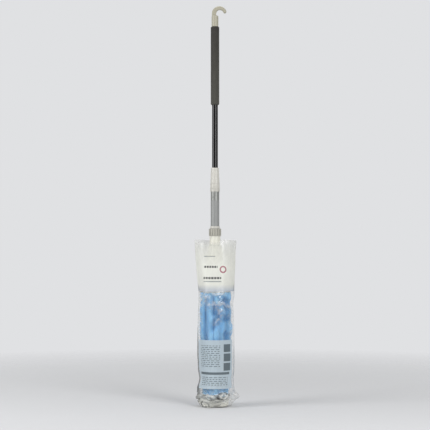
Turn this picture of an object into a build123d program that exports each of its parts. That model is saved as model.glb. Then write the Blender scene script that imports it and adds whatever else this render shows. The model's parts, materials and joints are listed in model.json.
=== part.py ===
"""Telescopic twist mop in its film bag.

A black upper tube telescopes in a grey lower tube and is clamped by a twist collar over a split collet.
A white sleeve slides and turns on the lower tube. It wrings the cloth strips, which run from the sleeve's
bell down into a cup at the foot of the pole, and a ratchet holds it at the top of its travel.

Millimetres. +Z runs up the pole, the origin is on the floor under the pole's axis, and -Y is the front.
"""

import os
from math import cos, hypot, pi, radians, sin, tan

from build123d import *

os.makedirs("parts", exist_ok=True)

# Clearances
seat_gap = 0.3  # between pieces that rest on one another, and round soft ones
slip_gap = 0.1  # radial, on a tube that slides or turns
push_gap = 0.05  # radial, between pieces pushed together for good

# Tubes of the pole
lower_tube_od = 28.0
lower_tube_wall = 0.8
lower_tube_length = 708.0
upper_tube_od = 19.0
upper_tube_wall = 0.7
upper_tube_length = 794.0
upper_tube_showing = 204.0  # from the lock collar to the grip, as photographed

# Foam grip
grip_od = 28.0
grip_length = 255.0
grip_edge = 2.5

# Hanging hook
hook_plug_length = 32.0
hook_neck_od = 22.0
hook_neck_height = 36.0
hook_neck_edge = 3.0
hook_height = 66.0  # above the grip
hook_outer_radius = 24.0
hook_throat_radius = 12.0
hook_stem_width = 14.0
hook_stem_offset = 10.0  # from the pole's axis to the stem's outer side
hook_tip_angle = 20.0  # of the crook's end above the level of its centre
hook_blade_thickness = 11.0
hook_blade_edge = 2.5

# Bush on the foot of the upper tube
guide_bush_length = 36.0
guide_bush_lip = 2.0

# Split collet on the top of the lower tube
collet_base_wall = 1.1
collet_base_height = 25.0
collet_roof = 4.0
collet_ridge_count = 3
collet_ridge_height = 3.0
collet_ridge_spacing = 6.0
collet_ridge_proud = 0.8
collet_neck_wall = 2.6
collet_neck_height = 22.0
collet_finger_wall = 2.2
collet_finger_tip_wall = 1.4
collet_finger_length = 22.0
collet_slot_count = 4
collet_slot_width = 2.0

# Lock collar over the collet
lock_collar_height = 52.0
lock_collar_foot_wall = 2.4
lock_collar_top_wall = 2.9
lock_collar_roof = 5.0
lock_flute_count = 12
lock_flute_depth = 0.5
lock_flute_radius = 2.2
lock_flute_length = 14.0

# Ratchet and stop ring on the lower tube
stop_ring_wall = 2.0
stop_ring_height = 8.0
stop_ring_edge = 0.6
ratchet_hub_height = 10.0
ratchet_skirt_depth = 13.0
ratchet_skirt_gap = 0.4
ratchet_skirt_wall = 2.0
ratchet_groove_count = 16
ratchet_groove_radius = 2.0
ratchet_groove_depth = 1.2
tooth_count = 12
tooth_height = 3.0
tooth_gap = 0.5  # between the two rows of tips at rest

# Wringer sleeve
bush_wall = 1.9
bush_length = 20.0
bush_rib = 3.0
sleeve_wall = 1.5
sleeve_length = 78.0
sleeve_flute_count = 8
sleeve_flute_depth = 0.6
sleeve_flute_radius = 2.0
sleeve_flute_margin = 3.0
crown_collar = 4.5
crown_spigot = 6.0
bell_od = 100.0
bell_wall = 2.4
bell_rim_depth = 6.0  # below the ring that holds the strips
bell_skirt = 33.0
bell_shoulder_sweep = 10.6
bell_cone_angle = 20.0
bell_neck_wall = 3.3
bell_neck_sweep = 24.0
bell_neck_land = 3.0
bell_socket_depth = 44.0
bell_flange = 4.0
bell_stop_height = 3.0
bell_stop_width = 3.0
bell_lip_height = 2.5
bell_lip_width = 0.8

# Rings that the strips are sewn to
refill_ring_height = 6.0
refill_ring_width = 17.0

# Cloth strips
strip_length = 367.5
strip_thickness = 3.5
strip_crown = 2.2  # how far a strip's middle stands out from its edges
strip_flat_share = 0.4  # of a strip's width, flat along its middle
strip_gap = 0.8
layer_gap = 0.8
outer_strip_count = 16
inner_strip_count = 12
strip_level_count = 6
head_od = 105.0

# Base at the foot of the pole
base_cup_od = 88.0
base_cup_wall = 2.4
base_cup_floor = 3.0
base_cup_height = 33.0
base_cup_bevel = 4.0
base_cup_edge = 0.8
base_boss_wall = 3.0
base_seat = 10.0  # solid under the tube's end
end_plug_length = 28.0
screw_od = 4.0
screw_bite = 14.0
screw_head_od = 9.0
screw_head_height = 2.6
washer_od = 12.0
washer_thickness = 1.0
screw_recess_depth = 5.0
screw_recess_gap = 1.0

# Film bag: slack is what it has on its left and right sides beyond the mop head
film_wall = 0.6
bag_length = 543.0
bag_ease = 0.8
bag_corner_flat = 2.0
bag_foot_slack = (4.0, 9.0)
bag_fold_height = 24.0
bag_fold_slack = (7.0, 16.0)
bag_waist_height = 88.0
bag_waist_slack = (0.0, 5.0)  # beyond the strips at that height
bag_belly_height = 150.0
bag_belly_slack = (2.0, 10.0)
bag_window_slack = (1.0, 9.0)
bag_mouth_slack = (16.0, 16.0)

# Radii that follow from these sizes
lower_r = lower_tube_od / 2
lower_bore_r = lower_r - lower_tube_wall
upper_r = upper_tube_od / 2
upper_bore_r = upper_r - upper_tube_wall
lower_push_r = lower_r + push_gap
upper_push_r = upper_r + push_gap
upper_slip_r = upper_r + slip_gap
bush_bore_r = lower_r + slip_gap
bush_r = bush_bore_r + bush_wall
sleeve_bore_r = bush_r + slip_gap
sleeve_r = sleeve_bore_r + sleeve_wall
bush_rib_bore_r = lower_r + seat_gap
ratchet_skirt_bore_r = sleeve_r + ratchet_skirt_gap
ratchet_r = ratchet_skirt_bore_r + ratchet_skirt_wall
tooth_inner_r = bush_rib_bore_r
tooth_outer_r = sleeve_r
bell_r = bell_od / 2
bell_bore_r = bell_r - bell_wall
bell_socket_r = sleeve_r + push_gap
bell_neck_r = bell_socket_r + bell_neck_wall
bell_lip_r = bell_bore_r - bell_lip_width
base_r = base_cup_od / 2
base_bore_r = base_r - base_cup_wall
base_boss_r = lower_push_r + base_boss_wall
head_r = head_od / 2

# Heights that follow, from the floor up
base_z = film_wall + seat_gap
base_floor_z = base_z + base_cup_floor
base_rim_z = base_z + base_cup_height
tube_foot_z = base_z + base_seat
strip_foot_z = base_floor_z + refill_ring_height + seat_gap
strip_top_z = strip_foot_z + strip_length
top_ring_z = strip_top_z + seat_gap
bell_stop_z = top_ring_z + refill_ring_height + seat_gap
bell_rim_z = top_ring_z - bell_rim_depth
bell_corner_z = bell_rim_z + bell_skirt + bell_shoulder_sweep
bell_neck_corner_z = bell_corner_z + (bell_r - bell_neck_r) / tan(radians(bell_cone_angle))
bell_top_z = bell_neck_corner_z + bell_neck_sweep + bell_neck_land
sleeve_foot_z = bell_top_z - bell_socket_depth
sleeve_top_z = sleeve_foot_z + sleeve_length
bell_flange_z = sleeve_foot_z - bell_flange
upper_bush_z = sleeve_top_z - crown_spigot - seat_gap - bush_length
lower_bush_z = sleeve_foot_z + seat_gap
tooth_foot_z = sleeve_top_z + crown_collar
ratchet_hub_z = tooth_foot_z + 2 * tooth_height + tooth_gap
ratchet_foot_z = ratchet_hub_z - ratchet_skirt_depth
stop_ring_z = ratchet_hub_z + ratchet_hub_height
lower_tube_top_z = tube_foot_z + lower_tube_length
collet_roof_z = lower_tube_top_z + collet_roof
collet_foot_z = collet_roof_z - collet_base_height
collet_neck_z = collet_roof_z + collet_neck_height
collet_tip_z = collet_neck_z + collet_finger_length
lock_collar_z = collet_roof_z + seat_gap
lock_collar_top_z = lock_collar_z + lock_collar_height
grip_foot_z = lock_collar_top_z + upper_tube_showing
grip_top_z = grip_foot_z + grip_length
upper_tube_foot_z = grip_top_z - upper_tube_length
hook_top_z = grip_top_z + hook_height


def strip_reach(height):
    """Radius that the outer strips reach at a height: drawn in at the cup and the bell, full between."""
    foot_reach = base_bore_r - seat_gap
    top_reach = bell_lip_r - seat_gap
    share = min(max((height - base_rim_z) / (bell_rim_z - base_rim_z), 0), 1)
    drawn_in = foot_reach + (top_reach - foot_reach) * share
    swell = 1 - (2 * share - 1) ** 4
    return drawn_in + (head_r - drawn_in) * swell


def write_piece(builder, name):
    """Label a finished piece and write it under its name."""
    builder.part.label = name
    export_step(builder.part, f"parts/{name}.step")


# Lower tube of the pole
with BuildPart() as lower_tube:
    with BuildSketch(Plane.XY.offset(tube_foot_z)):
        Circle(lower_r)
        Circle(lower_bore_r, mode=Mode.SUBTRACT)
    extrude(amount=lower_tube_length)
write_piece(lower_tube, "lower_tube")

# Upper tube, which slides in the lower one
with BuildPart() as upper_tube:
    with BuildSketch(Plane.XY.offset(upper_tube_foot_z)):
        Circle(upper_r)
        Circle(upper_bore_r, mode=Mode.SUBTRACT)
    extrude(amount=upper_tube_length)
write_piece(upper_tube, "upper_tube")

# Guide bush, pushed over the upper tube's foot, with a lip under the tube's end
with BuildPart() as guide_bush:
    with BuildSketch(Plane.XY.offset(upper_tube_foot_z - guide_bush_lip)):
        Circle(lower_bore_r - slip_gap)
        Circle(upper_bore_r, mode=Mode.SUBTRACT)
    extrude(amount=guide_bush_length)
    with BuildSketch(Plane.XY.offset(upper_tube_foot_z)):
        Circle(upper_push_r)
    extrude(amount=guide_bush_length, mode=Mode.SUBTRACT)
write_piece(guide_bush, "guide_bush")

# Foam grip with bevelled ends
with BuildPart() as foam_grip:
    with BuildSketch(Plane.XY.offset(grip_foot_z)):
        Circle(grip_od / 2)
    extrude(amount=grip_length)
    chamfer(foam_grip.edges(), length=grip_edge)
    with BuildSketch(Plane.XY.offset(grip_foot_z)):
        Circle(upper_push_r)
    extrude(amount=grip_length, mode=Mode.SUBTRACT)
write_piece(foam_grip, "foam_grip")

# Crook of the hanging hook: a flat blade that narrows from its stem to its tip
hook_left = -hook_stem_offset
hook_centre_z = hook_top_z - hook_outer_radius
hook_throat_left = hook_left + hook_stem_width
hook_throat_x = hook_throat_left + hook_throat_radius
hook_outer_x = hook_left + hook_outer_radius
tip_across, tip_up = cos(radians(hook_tip_angle)), sin(radians(hook_tip_angle))
tip_outer = (hook_outer_x + hook_outer_radius * tip_across, hook_centre_z + hook_outer_radius * tip_up)
tip_inner = (hook_throat_x + hook_throat_radius * tip_across, hook_centre_z + hook_throat_radius * tip_up)
tip_radius = hypot(tip_outer[0] - tip_inner[0], tip_outer[1] - tip_inner[1]) / 2
tip_end = (
    (tip_outer[0] + tip_inner[0]) / 2 + tip_radius * tip_up,
    (tip_outer[1] + tip_inner[1]) / 2 - tip_radius * tip_across,
)
hook_root_z = grip_top_z + hook_neck_height / 2
with BuildPart() as hook_blade:
    with BuildSketch(Plane.XZ):
        with BuildLine():
            Line((hook_left, hook_root_z), (hook_left, hook_centre_z))
            ThreePointArc((hook_left, hook_centre_z), (hook_outer_x, hook_top_z), tip_outer)
            ThreePointArc(tip_outer, tip_end, tip_inner)
            ThreePointArc(
                tip_inner,
                (hook_throat_x, hook_centre_z + hook_throat_radius),
                (hook_throat_left, hook_centre_z),
            )
            Line((hook_throat_left, hook_centre_z), (hook_throat_left, hook_root_z))
            Line((hook_throat_left, hook_root_z), (hook_left, hook_root_z))
        make_face()
    extrude(amount=hook_blade_thickness / 2, both=True)
    blade_faces = hook_blade.faces().sort_by(Axis.Y)
    blade_edges = (blade_faces[0].edges() + blade_faces[-1].edges()).sort_by(Axis.Z)
    chamfer(blade_edges[2:], length=hook_blade_edge)  # all but the two at the root

# Hanging hook: plug in the tube, neck over the grip's end, and the crook
with BuildPart() as hanging_hook:
    with BuildSketch(Plane.XY.offset(grip_top_z)):
        Circle(hook_neck_od / 2)
    extrude(amount=hook_neck_height)
    chamfer(hanging_hook.edges().group_by(Axis.Z)[-1], length=hook_neck_edge)
    with BuildSketch(Plane.XY.offset(grip_top_z)):
        Circle(upper_bore_r - push_gap)
    extrude(amount=-hook_plug_length)
    add(hook_blade.part)
write_piece(hanging_hook, "hanging_hook")

# Split collet: ridged socket on the lower tube, threaded neck and tapered fingers round the upper tube
collet_base_r = lower_push_r + collet_base_wall
collet_neck_r = upper_slip_r + collet_neck_wall
collet_finger_r = upper_slip_r + collet_finger_wall
collet_tip_r = upper_slip_r + collet_finger_tip_wall
first_ridge_z = collet_foot_z + collet_ridge_height / 2
collet_ridge_zs = [first_ridge_z + step * collet_ridge_spacing for step in range(collet_ridge_count)]
with BuildPart() as lock_collet:
    with BuildSketch(Plane.XZ):
        with BuildLine():
            Polyline(
                (lower_push_r, collet_foot_z),
                (collet_base_r, collet_foot_z),
                (collet_base_r, collet_roof_z),
                (collet_neck_r, collet_roof_z),
                (collet_neck_r, collet_neck_z),
                (collet_finger_r, collet_neck_z),
                (collet_tip_r, collet_tip_z),
                (upper_slip_r, collet_tip_z),
                (upper_slip_r, lower_tube_top_z),
                (lower_push_r, lower_tube_top_z),
                close=True,
            )
        make_face()
        with Locations(*[(lower_push_r, ridge_z) for ridge_z in collet_ridge_zs]):
            Rectangle(
                collet_base_wall + collet_ridge_proud,
                collet_ridge_height,
                align=(Align.MIN, Align.CENTER),
            )
    revolve(axis=Axis.Z)
    with BuildSketch(Plane.XY.offset(collet_neck_z)):
        with PolarLocations(0, collet_slot_count):
            Rectangle(collet_neck_r, collet_slot_width, align=(Align.MIN, Align.CENTER))
    extrude(amount=collet_finger_length, mode=Mode.SUBTRACT)
write_piece(lock_collet, "lock_collet")

# Lock collar: tapered twist nut whose cone presses the fingers in
lock_neck_bore_r = collet_neck_r + seat_gap
lock_foot_r = lock_neck_bore_r + lock_collar_foot_wall
lock_top_bore_r = upper_r + seat_gap
lock_top_r = lock_top_bore_r + lock_collar_top_wall
lock_cone_z = collet_neck_z + seat_gap
lock_roof_z = lock_collar_top_z - lock_collar_roof
with BuildPart() as lock_collar:
    with BuildSketch(Plane.XZ):
        with BuildLine():
            Polyline(
                (lock_neck_bore_r, lock_collar_z),
                (lock_foot_r, lock_collar_z),
                (lock_top_r, lock_collar_top_z),
                (lock_top_bore_r, lock_collar_top_z),
                (lock_top_bore_r, lock_roof_z),
                (collet_tip_r + seat_gap, lock_roof_z),
                (collet_finger_r + seat_gap, lock_cone_z),
                (lock_neck_bore_r, lock_cone_z),
                close=True,
            )
        make_face()
    revolve(axis=Axis.Z)
    with BuildSketch(Plane.XY.offset(lock_collar_z)):
        with PolarLocations(lock_foot_r + lock_flute_radius - lock_flute_depth, lock_flute_count):
            Circle(lock_flute_radius)
    extrude(amount=lock_flute_length, mode=Mode.SUBTRACT)
write_piece(lock_collar, "lock_collar")

# White stop ring above the ratchet
with BuildPart() as stop_ring:
    with BuildSketch(Plane.XY.offset(stop_ring_z)):
        Circle(lower_push_r + stop_ring_wall)
    extrude(amount=stop_ring_height)
    chamfer(stop_ring.edges(), length=stop_ring_edge)
    with BuildSketch(Plane.XY.offset(stop_ring_z)):
        Circle(lower_push_r)
    extrude(amount=stop_ring_height, mode=Mode.SUBTRACT)
write_piece(stop_ring, "stop_ring")

# One saw tooth of the ratchet, on the +X side, foot at zero height
with BuildPart() as saw_tooth:
    for radius in (tooth_inner_r - tooth_height, tooth_outer_r + tooth_height):
        half_width = radius * tan(pi / tooth_count)
        with BuildSketch(Plane(origin=(radius, 0, 0), x_dir=(0, 1, 0), z_dir=(1, 0, 0))):
            with BuildLine():
                Polyline((-half_width, 0), (half_width, 0), (half_width, tooth_height), close=True)
            make_face()
    loft(ruled=True)

# Full row of teeth
with BuildPart() as tooth_row:
    with PolarLocations(0, tooth_count):
        add(saw_tooth.part)
    with BuildSketch():
        Circle(tooth_outer_r)
        Circle(tooth_inner_r, mode=Mode.SUBTRACT)
    extrude(amount=tooth_height, mode=Mode.INTERSECT)

# Ratchet collar: ribbed outside, with a row of teeth facing down inside its skirt
with BuildPart() as ratchet_collar:
    with BuildSketch(Plane.XY.offset(ratchet_foot_z)):
        Circle(ratchet_r)
        with PolarLocations(ratchet_r + ratchet_groove_radius - ratchet_groove_depth, ratchet_groove_count):
            Circle(ratchet_groove_radius, mode=Mode.SUBTRACT)
    extrude(amount=ratchet_skirt_depth + ratchet_hub_height)
    with BuildSketch(Plane.XY.offset(ratchet_foot_z)):
        Circle(ratchet_skirt_bore_r)
    extrude(amount=ratchet_skirt_depth, mode=Mode.SUBTRACT)
    with BuildSketch(Plane.XY.offset(ratchet_hub_z)):
        Circle(lower_push_r)
    extrude(amount=ratchet_hub_height, mode=Mode.SUBTRACT)
    with Locations((0, 0, ratchet_hub_z)):
        add(tooth_row.part, rotation=(180, 0, 0))
write_piece(ratchet_collar, "ratchet_collar")

# Crown on top of the wringer sleeve, with the mating row of teeth
with BuildPart() as sleeve_crown:
    with BuildSketch(Plane.XY.offset(sleeve_top_z)):
        Circle(tooth_outer_r)
        Circle(tooth_inner_r, mode=Mode.SUBTRACT)
    extrude(amount=crown_collar)
    with BuildSketch(Plane.XY.offset(sleeve_top_z)):
        Circle(sleeve_bore_r - push_gap)
        Circle(tooth_inner_r, mode=Mode.SUBTRACT)
    extrude(amount=-crown_spigot)
    with Locations((0, 0, tooth_foot_z)):
        add(tooth_row.part)
write_piece(sleeve_crown, "sleeve_crown")

# Straight tube of the wringer sleeve, with a rib inside beside each bush and flutes for the hand
sleeve_flute_z = bell_top_z + sleeve_flute_margin
sleeve_flute_length = ratchet_foot_z - sleeve_flute_margin - sleeve_flute_z
bush_rib_zs = (upper_bush_z - seat_gap - bush_rib, lower_bush_z + bush_length + seat_gap)
with BuildPart() as sleeve_tube:
    with BuildSketch(Plane.XY.offset(sleeve_foot_z)):
        Circle(sleeve_r)
        Circle(sleeve_bore_r, mode=Mode.SUBTRACT)
    extrude(amount=sleeve_length)
    for rib_z in bush_rib_zs:
        with BuildSketch(Plane.XY.offset(rib_z)):
            Circle(sleeve_bore_r)
            Circle(bush_rib_bore_r, mode=Mode.SUBTRACT)
        extrude(amount=bush_rib)
    with BuildSketch(Plane.XY.offset(sleeve_flute_z)):
        with PolarLocations(sleeve_r + sleeve_flute_radius - sleeve_flute_depth, sleeve_flute_count):
            Circle(sleeve_flute_radius)
    extrude(amount=sleeve_flute_length, mode=Mode.SUBTRACT)
write_piece(sleeve_tube, "sleeve_tube")

# Plain bushes that run on the lower tube
with BuildPart() as upper_bush:
    with BuildSketch(Plane.XY.offset(upper_bush_z)):
        Circle(bush_r)
        Circle(bush_bore_r, mode=Mode.SUBTRACT)
    extrude(amount=bush_length)
write_piece(upper_bush, "upper_bush")

with BuildPart() as lower_bush:
    with BuildSketch(Plane.XY.offset(lower_bush_z)):
        Circle(bush_r)
        Circle(bush_bore_r, mode=Mode.SUBTRACT)
    extrude(amount=bush_length)
write_piece(lower_bush, "lower_bush")

# Bell of the wringer sleeve: skirt, cone and neck, hollow below the flange that the sleeve stands on
half_turn = tan(radians(bell_cone_angle) / 2)
bell_shoulder_radius = bell_shoulder_sweep / half_turn
bell_neck_radius = bell_neck_sweep / half_turn
bell_wall_drop = bell_wall * half_turn
bell_shoulder_fall = (bell_shoulder_sweep + bell_wall_drop) * tan(radians(bell_cone_angle))
with BuildPart() as sleeve_bell:
    with BuildSketch(Plane.XZ):
        with BuildLine():
            FilletPolyline(
                (bell_r, bell_rim_z),
                (bell_r, bell_corner_z),
                (bell_neck_r, bell_neck_corner_z),
                (bell_neck_r, bell_top_z),
                radius=(bell_shoulder_radius, bell_neck_radius),
            )
            Polyline((bell_neck_r, bell_top_z), (0, bell_top_z), (0, bell_rim_z), (bell_r, bell_rim_z))
        make_face()
    revolve(axis=Axis.Z)
    with BuildSketch(Plane.XZ):
        with BuildLine():
            Polyline(
                (bell_bore_r, bell_rim_z),
                (bell_bore_r, bell_corner_z - bell_shoulder_sweep),
                (bell_bore_r - bell_shoulder_fall, bell_corner_z + bell_shoulder_sweep),
                (bell_neck_r - bell_wall, bell_neck_corner_z - bell_wall_drop),
                (bell_neck_r - bell_wall, bell_top_z),
                (0, bell_top_z),
                (0, bell_rim_z),
                close=True,
            )
        make_face()
        with Locations((0, bell_flange_z)):
            Rectangle(bell_r, bell_top_z - bell_flange_z, align=(Align.MIN, Align.MIN), mode=Mode.SUBTRACT)
    revolve(axis=Axis.Z, mode=Mode.SUBTRACT)
    with BuildSketch(Plane.XY.offset(sleeve_foot_z)):
        Circle(bell_socket_r)
    extrude(amount=bell_socket_depth, mode=Mode.SUBTRACT)
    with BuildSketch(Plane.XY.offset(bell_flange_z)):
        Circle(bush_rib_bore_r)
    extrude(amount=bell_flange, mode=Mode.SUBTRACT)
    with BuildSketch(Plane.XZ):
        with Locations((bell_bore_r, bell_stop_z)):
            Rectangle(bell_stop_width * 2, bell_stop_height, align=(Align.CENTER, Align.MIN))
        with Locations((bell_bore_r, top_ring_z - seat_gap)):
            Rectangle(bell_lip_width * 2, bell_lip_height, align=(Align.CENTER, Align.MAX))
        with Locations((bell_r, bell_rim_z)):
            Rectangle(bell_r, bell_top_z - bell_rim_z, align=(Align.MIN, Align.MIN), mode=Mode.SUBTRACT)
    revolve(axis=Axis.Z)
write_piece(sleeve_bell, "sleeve_bell")

# Rings that the strips are sewn to: one snapped in the bell, one in the base cup
top_ring_r = bell_bore_r - seat_gap
with BuildPart() as refill_top_ring:
    with BuildSketch(Plane.XY.offset(top_ring_z)):
        Circle(top_ring_r)
        Circle(top_ring_r - refill_ring_width, mode=Mode.SUBTRACT)
    extrude(amount=refill_ring_height)
write_piece(refill_top_ring, "refill_top_ring")

base_ring_r = base_bore_r - seat_gap
with BuildPart() as refill_base_ring:
    with BuildSketch(Plane.XY.offset(base_floor_z)):
        Circle(base_ring_r)
        Circle(base_ring_r - refill_ring_width, mode=Mode.SUBTRACT)
    extrude(amount=refill_ring_height)
write_piece(refill_base_ring, "refill_base_ring")

# Cloth strips: one strip of each ring, lofted through crowned sections, then set round the pole
strip_free_step = (bell_rim_z - base_rim_z) / strip_level_count
strip_levels = [
    strip_foot_z,
    *[base_rim_z + strip_free_step * step for step in range(strip_level_count + 1)],
    strip_top_z,
]
layer_step = strip_crown + strip_thickness + layer_gap
strip_rings = {}
for ring_name, strip_count, layer in (
    ("outer_strips", outer_strip_count, 0),
    ("inner_strips", inner_strip_count, 1),
):
    with BuildPart() as strip:
        for level in strip_levels:
            outer_edge_r = strip_reach(level) - strip_crown - layer * layer_step
            inner_edge_r = outer_edge_r - strip_thickness
            half_width = inner_edge_r * tan(pi / strip_count) - strip_gap / 2
            half_flat = half_width * strip_flat_share
            with BuildSketch(Plane.XY.offset(level)):
                with BuildLine():
                    Polyline(
                        (outer_edge_r, -half_width),
                        (outer_edge_r + strip_crown, -half_flat),
                        (outer_edge_r + strip_crown, half_flat),
                        (outer_edge_r, half_width),
                        (inner_edge_r, half_width),
                        (inner_edge_r + strip_crown, half_flat),
                        (inner_edge_r + strip_crown, -half_flat),
                        (inner_edge_r, -half_width),
                        close=True,
                    )
                make_face()
        loft(ruled=True)
    with BuildPart() as strip_rings[ring_name]:
        with PolarLocations(0, strip_count):
            add(strip.part)
    write_piece(strip_rings[ring_name], ring_name)

# Base cup, with a boss for the lower tube and a recess below for the screw
with BuildPart() as base_cup:
    with BuildSketch(Plane.XY.offset(base_z)):
        Circle(base_r)
    extrude(amount=base_cup_height)
    chamfer(base_cup.edges().group_by(Axis.Z)[0], length=base_cup_bevel)
    with BuildSketch(Plane.XY.offset(base_floor_z)):
        Circle(base_bore_r)
        Circle(base_boss_r, mode=Mode.SUBTRACT)
    extrude(amount=base_cup_height, mode=Mode.SUBTRACT)
    chamfer(base_cup.edges().group_by(Axis.Z)[-1], length=base_cup_edge)
    with BuildSketch(Plane.XY.offset(tube_foot_z)):
        Circle(lower_push_r)
    extrude(amount=base_cup_height, mode=Mode.SUBTRACT)
    with BuildSketch(Plane.XY.offset(base_z)):
        Circle(washer_od / 2 + screw_recess_gap)
    extrude(amount=screw_recess_depth, mode=Mode.SUBTRACT)
    with BuildSketch(Plane.XY.offset(base_z)):
        Circle(screw_od / 2 + push_gap)
    extrude(amount=base_seat, mode=Mode.SUBTRACT)
write_piece(base_cup, "base_cup")

# Plug in the lower tube's foot, drilled for the screw
with BuildPart() as tube_end_plug:
    with BuildSketch(Plane.XY.offset(tube_foot_z)):
        Circle(lower_bore_r - push_gap)
    extrude(amount=end_plug_length)
    with BuildSketch(Plane.XY.offset(tube_foot_z)):
        Circle(screw_od / 2 + push_gap)
    extrude(amount=screw_bite + seat_gap, mode=Mode.SUBTRACT)
write_piece(tube_end_plug, "tube_end_plug")

# Washer and pan-head screw under the base cup
washer_z = base_z + screw_recess_depth - washer_thickness
with BuildPart() as base_washer:
    with BuildSketch(Plane.XY.offset(washer_z)):
        Circle(washer_od / 2)
        Circle(screw_od / 2 + push_gap, mode=Mode.SUBTRACT)
    extrude(amount=washer_thickness)
write_piece(base_washer, "base_washer")

with BuildPart() as base_screw:
    with BuildSketch(Plane.XY.offset(washer_z)):
        Circle(screw_head_od / 2)
    extrude(amount=-screw_head_height)
    chamfer(base_screw.edges().group_by(Axis.Z)[0], length=screw_head_height / 3)
    with BuildSketch(Plane.XY.offset(washer_z)):
        Circle(screw_od / 2)
    extrude(amount=tube_foot_z + screw_bite - washer_z)
write_piece(base_screw, "base_screw")

# Film bag: lofted through rounded sections, open at the mouth
bag_reach = max(head_r, bell_r) + bag_ease
bag_foot_reach = base_r + bag_ease
bag_waist_reach = strip_reach(bag_waist_height) + bag_ease
bag_levels = [
    (0, bag_reach, bag_foot_slack, bag_foot_reach),
    (bag_fold_height, bag_reach, bag_fold_slack, bag_foot_reach + bag_ease),
    (bag_waist_height, bag_waist_reach, bag_waist_slack, bag_reach),
    (bag_belly_height, bag_reach, bag_belly_slack, bag_reach),
    (bell_rim_z, bag_reach, bag_window_slack, bag_reach),
    (bag_length, bag_reach, bag_mouth_slack, bag_reach),
]
with BuildPart() as film_bag:
    for film, mode in ((film_wall, Mode.ADD), (0, Mode.SUBTRACT)):
        for level, reach, (left_slack, right_slack), half_depth in bag_levels:
            half_width = reach + (left_slack + right_slack) / 2
            corner = min(half_width, half_depth) - bag_corner_flat
            with BuildSketch(Plane.XY.offset(max(level, film_wall - film))):
                with Locations(((right_slack - left_slack) / 2, 0)):
                    RectangleRounded(2 * (half_width + film), 2 * (half_depth + film), corner + film)
        loft(ruled=True, mode=mode)
write_piece(film_bag, "film_bag")
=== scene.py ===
"""Looks of a telescopic twist mop that stands in its open film bag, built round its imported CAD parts.

Lengths are in metres, with +Z up the pole and -Y towards the camera. Names that end in _MM or _mm hold
millimetres, and those that end in _DEG or _deg hold degrees. Angles round the pole count from +X, unless a
comment says otherwise.
"""

import json
import math
from functools import partial

import bmesh
import bpy
import numpy as np
from bpy.props import FloatProperty, FloatVectorProperty, PointerProperty
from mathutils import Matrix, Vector, noise


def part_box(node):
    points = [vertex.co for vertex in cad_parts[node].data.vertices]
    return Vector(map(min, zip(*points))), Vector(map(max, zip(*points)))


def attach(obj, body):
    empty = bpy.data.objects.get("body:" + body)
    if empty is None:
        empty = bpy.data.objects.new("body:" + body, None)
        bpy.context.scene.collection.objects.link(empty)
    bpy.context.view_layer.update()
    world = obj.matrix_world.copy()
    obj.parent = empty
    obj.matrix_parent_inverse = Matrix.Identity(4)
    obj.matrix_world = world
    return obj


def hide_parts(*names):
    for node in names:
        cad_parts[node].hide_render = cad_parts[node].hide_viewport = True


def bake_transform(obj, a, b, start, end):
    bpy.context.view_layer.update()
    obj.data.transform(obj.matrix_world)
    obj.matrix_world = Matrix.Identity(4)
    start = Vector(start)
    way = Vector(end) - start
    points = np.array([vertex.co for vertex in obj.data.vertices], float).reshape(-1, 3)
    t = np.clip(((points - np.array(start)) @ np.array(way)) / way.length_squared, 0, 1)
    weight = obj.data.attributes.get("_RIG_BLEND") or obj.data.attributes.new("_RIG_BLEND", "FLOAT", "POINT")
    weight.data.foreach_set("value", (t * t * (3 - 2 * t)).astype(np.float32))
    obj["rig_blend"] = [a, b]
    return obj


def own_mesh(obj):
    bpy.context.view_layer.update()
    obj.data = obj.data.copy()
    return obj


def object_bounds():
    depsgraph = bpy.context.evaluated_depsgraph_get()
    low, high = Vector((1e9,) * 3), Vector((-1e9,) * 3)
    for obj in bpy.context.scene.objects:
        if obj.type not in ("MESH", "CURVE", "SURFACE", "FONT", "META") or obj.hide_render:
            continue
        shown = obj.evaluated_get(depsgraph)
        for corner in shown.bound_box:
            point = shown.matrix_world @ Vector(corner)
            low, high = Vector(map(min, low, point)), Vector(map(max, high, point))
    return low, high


bl_info = {
    "name": "Wet Mop",
    "version": (1, 0, 0),
    "blender": (4, 5, 0),
    "location": "3D View > Sidebar > Wet Mop",
    "description": "Cloth strips, film bag, foam grip, finishes and stage for a twist mop",
    "category": "Add Mesh",
}

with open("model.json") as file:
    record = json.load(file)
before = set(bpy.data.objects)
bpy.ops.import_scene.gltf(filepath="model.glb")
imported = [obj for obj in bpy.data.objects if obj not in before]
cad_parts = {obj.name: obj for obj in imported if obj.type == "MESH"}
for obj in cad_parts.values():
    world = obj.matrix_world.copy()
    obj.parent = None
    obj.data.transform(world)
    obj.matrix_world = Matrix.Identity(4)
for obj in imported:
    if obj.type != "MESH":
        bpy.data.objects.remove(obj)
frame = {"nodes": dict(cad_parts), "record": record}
CAD_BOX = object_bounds()

MM = 0.001
NOISE_SEED = 3  # without a seed, Blender's noise vectors change from run to run
FRONT_RIGHT_DEG = -50  # where cloth and film are crumpled most

# Places and sizes that the CAD parts give
STRIPS_LOW, STRIPS_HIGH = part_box("outer_strips")
GRIP_LOW, GRIP_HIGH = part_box("foam_grip")
CUP_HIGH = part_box("base_cup")[1]
BELL_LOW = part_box("sleeve_bell")[0]
BAG_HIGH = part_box("film_bag")[1]
UPPER_TUBE_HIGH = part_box("upper_tube")[1]
SLOT_OF_NODE = {part["node"]: part["material_slot"] for part in frame["record"]["subparts"]}

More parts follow.
